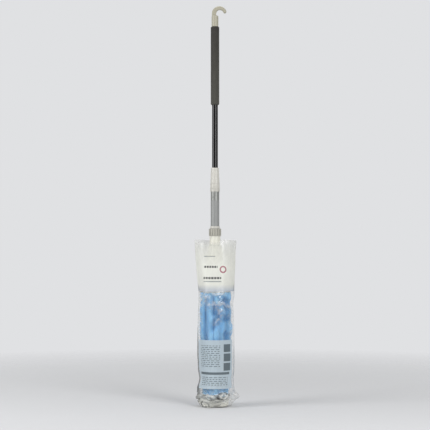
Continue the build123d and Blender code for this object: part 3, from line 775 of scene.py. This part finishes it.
def add_strips(bm, size, count, width, layer, low, high, phase):
    """Add one ring of strips between two heights, no two quite alike."""
    uv = bm.loops.layers.uv.verify()
    hollow = bm.verts.layers.float["hollow"]
    rows = round((high - low) / (MM * STRIP_ROW_MM))
    half_angle = width / 2 / (STRIPS_HIGH.x - layer)
    for number in range(count):
        strayed, widened = noise.noise_vector(Vector((2.7 * number, 100 * layer, 0.5)))[:2]
        middle = phase + 2 * math.pi * number / count + 0.05 * strayed
        half = half_angle * (1 + 0.1 * widened)
        made = bmesh.ops.create_grid(bm, x_segments=STRIP_COLUMNS, y_segments=rows, size=1, calc_uvs=False)
        for face in {face for vert in made["verts"] for face in vert.link_faces}:
            for loop in face.loops:
                across, up = loop.vert.co.x, (loop.vert.co.y + 1) / 2
                loop[uv].uv = (STRIP_APART * number + 0.5 * width * across, low + (high - low) * up)
        for vert in made["verts"]:
            across, up = vert.co.x, (vert.co.y + 1) / 2
            height = low + (high - low) * up
            vert.co, vert[hollow] = cloth_point(size, middle + half * across, across, height, layer)


class WETMOP_OT_cloth_strips(bpy.types.Operator):
    """Make the two rings of cloth strips, split where the part that slackens meets the part that twists"""

    bl_idname = "wet_mop.cloth_strips"
    bl_label = "Cloth Strips"

    def execute(self, context):
        noise.seed_set(NOISE_SEED)
        size = context.scene.wet_mop_cloth
        cloth = microfibre_cloth(size)
        inner_layer = size.thickness + MM * INNER_LAYER_MM
        pieces = []
        for name, low, high in (
            ("microfibre_strips_lower", STRIPS_LOW.z, CLOTH_SPLIT),
            ("microfibre_strips_upper", CLOTH_SPLIT, STRIPS_HIGH.z),
        ):
            bm = bmesh.new()
            bm.loops.layers.uv.new("cloth")
            bm.verts.layers.float.new("hollow")
            add_strips(bm, size, OUTER_STRIPS, size.outer_width, 0, low, high, 0)
            add_strips(bm, size, INNER_STRIPS, size.inner_width, inner_layer, low, high, INNER_TURN)
            thicken(bm, size.thickness)
            strips = add_piece(name, bm, [cloth], sharp_angle=70)
            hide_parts("outer_strips", "inner_strips")
            pieces.append(strips)
        lower, upper = pieces
        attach(lower, "lower_pole")
        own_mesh(lower)
        twisted = {"start": (0, 0, CLOTH_SPLIT), "end": (0, 0, BELL_LOW.z)}
        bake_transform(upper, "wringer_carriage", "wringer_sleeve", **twisted)
        return {"FINISHED"}


# Film bag

def bag_rows():
    """Rows of the bag from the middle of its bottom to its mouth: (share of the full reach, height)."""
    rows = [(step / BAG_BOTTOM_ROWS, 0.0) for step in range(BAG_BOTTOM_ROWS)]
    edges = (0, *LABEL_ZONE_MM, WHITE_EDGE_MM, BAG_HIGH.z / MM)
    for low, high, count in zip(edges, edges[1:], BAG_ZONE_ROWS):
        rows += [(1.0, MM * (low + (high - low) * step / count)) for step in range(count)]
    return rows + [(1.0, BAG_HIGH.z)]


def bag_wall(angle, height_mm):
    """Radius of the smooth wall, degrees round to its nearer side, and how much film is folded there."""
    cosine, sine = math.cos(angle), math.sin(angle)
    half_width = MM * between(BAG_OUTLINE_MM, height_mm, 2 if cosine > 0 else 1)
    half_depth = MM * between(BAG_DEPTH_MM, height_mm)
    # The two flat sheets meet in a fin at each side, which stands out from the round of the head
    side_deg = math.degrees(math.acos(min(abs(cosine), 1)))
    folded = between(RIGHT_FOLD_SHARE if cosine > 0 else LEFT_FOLD_SHARE, height_mm)
    flat_share = (0.4 + 0.4 * faded(height_mm, 50, 70)) * faded(height_mm, 380, 460)
    fin = max(flat_share * (half_width - half_depth), MM * FIN_MM * folded, 0)
    oval = 1 / math.hypot(cosine / (half_width - fin), sine / half_depth)
    return oval + fin * math.exp(-(side_deg / FIN_DEG) ** 2), side_deg, folded


def foot_flap(angle, height_mm):
    """How far the loose flaps at the foot stand out at a place, in metres."""
    out = 0
    for middle, half_angle, low, high, reach_mm in FOOT_FLAPS:
        aside = abs(math.remainder(math.degrees(angle) - middle, 360)) / half_angle
        above = abs(height_mm - (low + high) / 2) / ((high - low) / 2)
        out += MM * reach_mm * faded(aside, 0, 1) * faded(above, 0, 1)
    return out


def foot_roll(size, angle, height_mm):
    """How far a roll of slouched film stands out and drops, and its painted edge shade and crest highlight.
    """
    low, high = FOOT_ROLLS_MM
    around = Vector((math.cos(angle), math.sin(angle), 0))
    shift = 0.55 * noise.noise(1.5 * around) + 0.3 * noise.noise(4 * around)
    turn = 2 * math.pi * (height_mm / FOOT_ROLL_MM + shift)
    rolled = eased(height_mm, low, low + 8) * faded(height_mm, high - 12, high)
    rolled *= 1 - 0.9 * eased(around.x, 0.55, 0.95)
    depth = size.roll_depth * rolled * (0.3 + 0.7 * eased(noise.noise(3 * around), -0.3, 0.3))
    out = depth * (0.7 + 0.7 * math.sin(turn))
    drop = 0.45 * depth * math.sin(2 * turn)
    broken = rolled * eased(noise.noise(5 * around + Vector((0, 0, height_mm / 20))), -0.3, 0.0)
    edge, crest = (
        broken * math.exp(-(math.remainder(turn - at, 2 * math.pi) / 0.6) ** 2) for at in (1.2, 2.8)
    )
    return out, drop, edge, crest


def foot_loop(across_mm, height_mm):
    """How near a place at the front of the foot is to a loop's rim, with its painted shade, and to the
    painted highlight in it.
    """
    place = Vector((across_mm, height_mm, 0))
    spot = place + 3 * noise.noise_vector(place / 9)
    rim = inside = 0
    for across, up, half_width, half_height in FOOT_LOOPS_MM:
        apart = math.hypot((spot.x - across) / half_width, (spot.y - up) / half_height)
        rim = max(rim, math.exp(-((apart - 1.05) / 0.3) ** 2))
        inside = max(inside, math.exp(-((apart - 0.6) / 0.22) ** 2))
    return rim, inside


def glinting_fold(across_mm, height_mm):
    """How much a pale fold of the film hides at a place on its front, from 0 to 1, as a painted highlight.
    """
    place = Vector((across_mm, height_mm, 0))
    strayed = 7 * noise.noise_vector(place / 13) + 5 * noise.noise_vector(place / 6)
    spot = (place + strayed).xy
    hidden = 0
    for left, low, right, high, half_width, most in FILM_FOLDS_MM:
        start, along = Vector((left, low)), Vector((right - left, high - low))
        gone = min(max((spot - start).dot(along) / along.length_squared, 0), 1)
        apart = (spot - start - gone * along).length
        hidden = max(hidden, most * math.exp(-(apart / half_width) ** 2))
    return hidden * (0.3 + 0.7 * eased(noise.noise(place / 10), -0.35, 0.25))


def mouth_drop(size, angle, height, spot):
    """How far the mouth's edge hangs down: it waves, and sags most at the front left."""
    near_mouth = eased(height, BAG_HIGH.z - MM * MOUTH_EDGE_MM, BAG_HIGH.z)
    wave = 5 * MM * (0.5 + 0.5 * noise.noise(spot / (40 * MM) + Vector((0, 0, 9))))
    return near_mouth * (wave + size.mouth_dip * facing(angle, MOUTH_DEG, 0.2, 1))


def bag_point(size, angle, reach_share, height):
    """A point of the film, and its marks: painted highlight, haze, and painted dark shade."""
    height_mm = height / MM
    cosine, sine = math.cos(angle), math.sin(angle)
    radius, side_deg, folded = bag_wall(angle, height_mm)
    # Creases run every way at the foot, and up the bag above it
    crease_height = min(height, FOOT_TOP) + 0.4 * max(height - FOOT_TOP, 0)
    spot = Vector((BAG_ROUND * cosine, BAG_ROUND * sine, crease_height))
    slack = facing(angle, FRONT_RIGHT_DEG, 0.3, 0.8)
    slack *= eased(height_mm, 250, 340) * faded(height_mm, 370, 400)
    lined = between(BAG_CREASING, height_mm)
    broad, broad_crease = crumple(spot, BROAD_CREASE_MM)
    fine, fine_crease = crumple(spot + Vector((5, 2, 1)), FINE_CREASE_MM)
    facet, _ = crumple(Vector((spot.x, spot.y, height)), FACET_MM)
    drape = noise.noise(Vector((spot.x, spot.y, 0.3 * height)) / (30 * MM))
    creased = max(lined, 0.4 * slack) * (2.4 * broad + 0.9 * fine - 1.65 + 0.35 * drape)
    radius += size.crease_depth * creased
    # Pale folds stand out a little, and are whitened as painted highlights
    pale = glinting_fold(radius * cosine / MM, height_mm) if sine < 0 else 0
    radius += size.crease_depth * (0.7 * slack * (facet - 0.5) + 0.3 * pale)
    # Rolls, flaps and loops stand out at the foot
    roll_out, roll_drop, roll_edge_shade, roll_crest_highlight = foot_roll(size, angle, height_mm)
    flap = foot_flap(angle, height_mm)
    at_front = eased(-sine, 0.2, 0.5) * faded(height_mm, 50, 56)
    loop_rim_shade, loop_inside = (at_front * mark for mark in foot_loop(radius * cosine / MM, height_mm))
    radius = (radius + roll_out + flap + MM * LOOP_RISE_MM * loop_inside) * reach_share
    # The foot crumples up and down as well, and lies flat under the cup
    crumpled = eased(height_mm, 0, 10) * faded(height_mm, 25, 60)
    crumple_height, _ = crumple(spot + Vector((0, 4, 0)), BROAD_CREASE_MM)
    lift = 2 * size.crease_depth * crumpled * (crumple_height - 0.5) - roll_drop
    edge_lift = 2.5 * MM * eased(reach_share, 0.9, 1.0) * (0.5 + 0.5 * noise.noise(spot / (20 * MM)))
    raised_height = max(MM * FLOOR_GAP_MM, height + lift) + edge_lift * faded(height_mm, 0, 10)
    raised_height -= mouth_drop(size, angle, height, spot)
    # Marks: painted dark shade where the film lies double, under rolls, round loops and on some foot facets;
    # real milkiness at the foot; painted highlights on crests, other foot facets, roll crests, loops and
    # pale folds
    # The painted shade of the left fin spreads wider low down
    low_left = eased(-cosine, 0, 0.3) * faded(height_mm, 55, 75)
    fin_shade_spread_deg = FIN_DEG * (1.3 + 3.5 * low_left)
    clear_ear = eased(cosine, 0.55, 0.95)
    at_foot = faded(height_mm, 30, 46) * eased(height_mm, 8, 18) * (1 - 0.85 * clear_ear)
    painted_film_shade = max(
        folded * math.exp(-(side_deg / fin_shade_spread_deg) ** 2),
        0.7 * roll_edge_shade,
        0.5 * at_foot * eased(height_mm, 16, 28) * eased(facet, 0.5, 0.58),
        0.95 * loop_rim_shade,
    )
    milky = max(
        faded(height_mm, 18, 36) * eased(height_mm, 5, 16) * (1 - 0.75 * clear_ear) * (0.5 + fine),
        0.9 * eased(flap, 2 * MM, 7 * MM) * (1 - clear_ear),
    )
    glints = max(0.6 * at_foot * faded(facet, 0.4, 0.47), 0.85 * loop_inside)
    haze = size.haze + (size.foot_haze - size.haze) * milky
    haze += 0.9 * painted_film_shade + 0.6 * roll_crest_highlight + glints + pale
    crease = max(lined * max(broad_crease, 0.6 * fine_crease), roll_crest_highlight, glints, min(2.5 * pale, 1))
    return Vector((radius * cosine, radius * sine, raised_height)), (crease, min(haze, 1), painted_film_shade)


def bag_zone(angle, height_mm):
    """Number of the film's material: 0 clear, 1 white print, 2 label."""
    if height_mm > WHITE_EDGE_MM:
        return 1
    from_front = math.degrees(angle + math.pi / 2)
    on_label = LABEL_ARC_DEG[0] < from_front < LABEL_ARC_DEG[1]
    return 2 if on_label and LABEL_ZONE_MM[0] < height_mm < LABEL_ZONE_MM[1] else 0


class WETMOP_OT_film_bag(bpy.types.Operator):
    """Make the clear printed film bag, creased at its foot and open at its mouth"""

    bl_idname = "wet_mop.film_bag"
    bl_label = "Film Bag"

    def execute(self, context):
        noise.seed_set(NOISE_SEED)
        size = context.scene.wet_mop_film
        rows = bag_rows()
        last_row = len(rows) - 1
        bm = bmesh.new()
        uv = bm.loops.layers.uv.new("film")
        for name in FILM_MARKS:
            bm.verts.layers.float.new(name)
        bmesh.ops.create_grid(bm, x_segments=BAG_COLUMNS, y_segments=last_row, size=1, calc_uvs=False)
        # Round the bag from the middle of its back, where the grid's two sides meet
        places = {
            vert: (math.pi * vert.co.x - math.pi / 2, *rows[round((vert.co.y + 1) / 2 * last_row)])
            for vert in bm.verts
        }
        for face in bm.faces:
            angle, reach_share, height = np.mean([places[vert] for vert in face.verts], axis=0)
            face.material_index = bag_zone(angle, height / MM) if reach_share > 0.99 else 0
            for loop in face.loops:
                angle, _, height = places[loop.vert]
                loop[uv].uv = (BAG_ROUND * (angle + math.pi / 2), height)
        layers = [bm.verts.layers.float[name] for name in FILM_MARKS]
        for vert, place in places.items():
            vert.co, marks = bag_point(size, *place)
            for layer, mark in zip(layers, marks):
                vert[layer] = mark
        bmesh.ops.remove_doubles(bm, verts=bm.verts[:], dist=0.02 * MM)
        # Haze and ink lie on the outer face alone, so that each wall hides the view once
        inner_face = film_look("film_inner_face", 0.14, 0.25, 0)[0]
        finishes = [clear_film(size), white_print(size), label_print(size), inner_face]
        for face in thicken(bm, size.thickness):
            face.material_index = len(finishes) - 1
        bag = add_piece("clear_film_bag", bm, finishes, "bag", sharp_angle=80)
        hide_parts("film_bag")
        return {"FINISHED"}


# Foam grip

class WETMOP_OT_foam_grip(bpy.types.Operator):
    """Make the foam grip: a bevelled sleeve whose skin is a little uneven"""

    bl_idname = "wet_mop.foam_grip"
    bl_label = "Foam Grip"

    def execute(self, context):
        size = context.scene.wet_mop_grip
        outer, inner = GRIP_HIGH.x, UPPER_TUBE_HIGH.x
        low, high, bevel = GRIP_LOW.z, GRIP_HIGH.z, size.end_bevel
        bm = bmesh.new()
        corners = [
            (inner, low), (outer - bevel, low), (outer, low + bevel),
            (outer, high - bevel), (outer - bevel, high), (inner, high),
        ]
        verts = [bm.verts.new((radius, 0, height)) for radius, height in corners]
        edges = [bm.edges.new((verts[i - 1], verts[i])) for i in range(len(verts))]
        lower_end, side, upper_end = edges[2:5]
        bmesh.ops.subdivide_edges(bm, edges=[side], cuts=GRIP_CUTS)
        bmesh.ops.subdivide_edges(bm, edges=[lower_end, upper_end], cuts=GRIP_END_CUTS)
        profile = bm.verts[:] + bm.edges[:]
        turn = {"axis": (0, 0, 1), "angle": 2 * math.pi, "steps": GRIP_STEPS, "use_merge": True}
        bmesh.ops.spin(bm, geom=profile, **turn)
        bmesh.ops.remove_doubles(bm, verts=bm.verts[:], dist=0.01 * MM)
        bmesh.ops.recalc_face_normals(bm, faces=bm.faces[:])
        for vert in bm.verts:
            flat = Vector((vert.co.x, vert.co.y, 0))
            if flat.length > inner + MM:
                uneven = noise.noise(vert.co / (20 * MM)) + 0.6 * noise.noise(vert.co / (6 * MM))
                vert.co -= flat.normalized() * size.waviness * (0.8 + uneven * 0.5)
        grip = add_piece("foam_grip_sleeve", bm, [foam_skin(size)], "upper_pole")
        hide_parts("foam_grip")
        return {"FINISHED"}


# Rigid parts

CREAM_NODES = ("sleeve_tube", "sleeve_bell", "base_cup")


class WETMOP_OT_rigid_finishes(bpy.types.Operator):
    """Give each rigid part the finish of its real material"""

    bl_idname = "wet_mop.rigid_finishes"
    bl_label = "Rigid Finishes"

    def execute(self, context):
        size = context.scene.wet_mop_finish
        cream = moulded_plastic("cream_polypropylene", size.cream, 40, 0.34)
        finishes = {
            "ivory_plastic": moulded_plastic("ivory_polypropylene", size.ivory, 18, 0.36),
            # The two numbers after the roughness set the painted shade in corners; the ratchet's grooves get
            # the darkest
            "white_plastic": moulded_plastic("white_abs", size.white, 25, 0.3, 1.5, 0.2),
            "grey_plastic": moulded_plastic("warm_grey_abs", size.warm_grey, 20, 0.42, 6, 0.68),
            "bearing_plastic": moulded_plastic("natural_acetal", size.natural, 15, 0.3),
            "ring_plastic": moulded_plastic("pale_grey_polypropylene", size.pale_grey, 20, 0.4),
            "black_lacquer": black_lacquer(size),
            "grey_coat": grey_coat(size),
            "zinc_steel": zinc_plate(size),
        }
        for name, node in frame["nodes"].items():
            if node.hide_render:
                continue
            node.data.materials.clear()
            node.data.materials.append(cream if name in CREAM_NODES else finishes[SLOT_OF_NODE[name]])
        return {"FINISHED"}


# Stage

def floor_finish(size):
    """Matte paper floor that fades into the background far from the object."""
    material, add, shader, place = new_finish("matte_paper_floor")
    across = add("VectorMath", {0: place}, operation="LENGTH")
    mottled = {0: pattern(add, place, 60), 6: shaded(size.backdrop, 0.985), 7: size.backdrop}
    fading = {0: across, 1: 0.12 * size.floor_radius, 2: 0.9 * size.floor_radius, 3: 1, 4: 0}
    feed(shader, {
        "Base Color": add("Mix", mottled, data_type="RGBA"),
        "Roughness": 0.95,
        "Specular IOR Level": 0.1,
        "Alpha": add("MapRange", fading),
    })
    return material


def studio_world(size):
    """World that lights the object evenly, and shows the plain backdrop to the camera and through film.

    Gloss mirrors the backdrop behind the object, and the dimmer room on the camera's side.
    """
    world = bpy.data.worlds.new("studio")
    bpy.context.scene.world = world
    world.use_nodes = True
    add = partial(add_node, world.node_tree)
    path = add("LightPath").outputs
    ways = add("SeparateXYZ", {0: add("TexCoord").outputs["Generated"]}).outputs
    in_front = add("MapRange", {0: ways["Y"], 1: ROOM_EDGE[0], 2: ROOM_EDGE[1]})
    roomward = add("Math", {0: path["Is Glossy Ray"], 1: in_front}, operation="MULTIPLY")
    room = (size.room, size.room, size.room, 1)
    shown = add("Mix", {0: roomward, 6: size.backdrop, 7: room}, data_type="RGBA")
    seen = add("Math", {0: path["Is Camera Ray"], 1: path["Is Glossy Ray"]}, operation="ADD")
    seen = add("Math", {0: seen, 1: path["Is Transmission Ray"]}, operation="ADD", use_clamp=True)
    fill = add("Background", {"Color": (1, 1, 1, 1), "Strength": size.fill})
    backdrop = add("Background", {"Color": shown, "Strength": 1})
    mixed = add("MixShader", {0: seen, 1: fill, 2: backdrop})
    feed(world.node_tree.nodes["World Output"], {"Surface": mixed})


def add_lamp(name, power, place, aim, width, height):
    """A soft rectangular lamp that points at a place."""
    lamp = bpy.data.lights.new(name, "AREA")
    lamp.energy = power
    lamp.shape = "RECTANGLE"
    lamp.size, lamp.size_y = width, height
    holder = bpy.data.objects.new(name, lamp)
    holder.location = place
    holder.rotation_euler = (Vector(aim) - Vector(place)).to_track_quat("-Z", "Y").to_euler()
    bpy.context.scene.collection.objects.link(holder)


class WETMOP_OT_stage(bpy.types.Operator):
    """Make the pale floor, the soft lamps and the camera"""

    bl_idname = "wet_mop.stage"
    bl_label = "Stage"

    def execute(self, context):
        size = context.scene.wet_mop_stage
        bm = bmesh.new()
        bmesh.ops.create_circle(bm, cap_ends=True, segments=96, radius=size.floor_radius)
        floor = add_piece("floor", bm, [floor_finish(size)])
        studio_world(size)
        middle = (0, 0, CAD_BOX[1].z / 2)
        for name, power_share, place, width, height in LAMPS:
            add_lamp(name, power_share * size.lamp_power, place, middle, width, height)
        camera = bpy.data.cameras.new("camera")
        camera.lens = camera.sensor_width * size.camera_distance / size.frame_height
        camera.shift_y = (size.aim_height - size.camera_height) / size.frame_height
        holder = bpy.data.objects.new("camera", camera)
        holder.location = (0, -size.camera_distance, size.camera_height)
        holder.rotation_euler = (math.pi / 2, 0, 0)
        context.scene.collection.objects.link(holder)
        context.scene.camera = holder
        context.scene.view_settings.view_transform = "Standard"
        return {"FINISHED"}


class WETMOP_PT_sidebar(bpy.types.Panel):
    """Settings and steps of the mop"""

    bl_idname = "WETMOP_PT_sidebar"
    bl_label = "Wet Mop"
    bl_space_type = "VIEW_3D"
    bl_region_type = "UI"
    bl_category = "Wet Mop"

    def draw(self, context):
        for operator, settings in STEPS:
            box = self.layout.box()
            box.operator(operator.bl_idname)
            group = getattr(context.scene, settings)
            for name in group.__annotations__:
                box.prop(group, name)


SETTINGS = {
    "wet_mop_cloth": WetMopClothSettings,
    "wet_mop_film": WetMopFilmSettings,
    "wet_mop_grip": WetMopGripSettings,
    "wet_mop_finish": WetMopFinishSettings,
    "wet_mop_stage": WetMopStageSettings,
}
STEPS = [
    (WETMOP_OT_cloth_strips, "wet_mop_cloth"),
    (WETMOP_OT_film_bag, "wet_mop_film"),
    (WETMOP_OT_foam_grip, "wet_mop_grip"),
    (WETMOP_OT_rigid_finishes, "wet_mop_finish"),
    (WETMOP_OT_stage, "wet_mop_stage"),
]
CLASSES = [*SETTINGS.values(), *[operator for operator, _ in STEPS], WETMOP_PT_sidebar]


def register():
    """Register the classes and add their settings to the scene."""
    for cls in CLASSES:
        bpy.utils.register_class(cls)
    for name, group in SETTINGS.items():
        setattr(bpy.types.Scene, name, PointerProperty(type=group))


def unregister():
    """Undo what register does."""
    for name in SETTINGS:
        delattr(bpy.types.Scene, name)
    for cls in reversed(CLASSES):
        bpy.utils.unregister_class(cls)


def main():
    """Register the add-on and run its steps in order."""
    register()
    bpy.ops.wet_mop.cloth_strips()
    bpy.ops.wet_mop.film_bag()
    bpy.ops.wet_mop.foam_grip()
    bpy.ops.wet_mop.rigid_finishes()
    bpy.ops.wet_mop.stage()


if __name__ == "__main__":
    main()
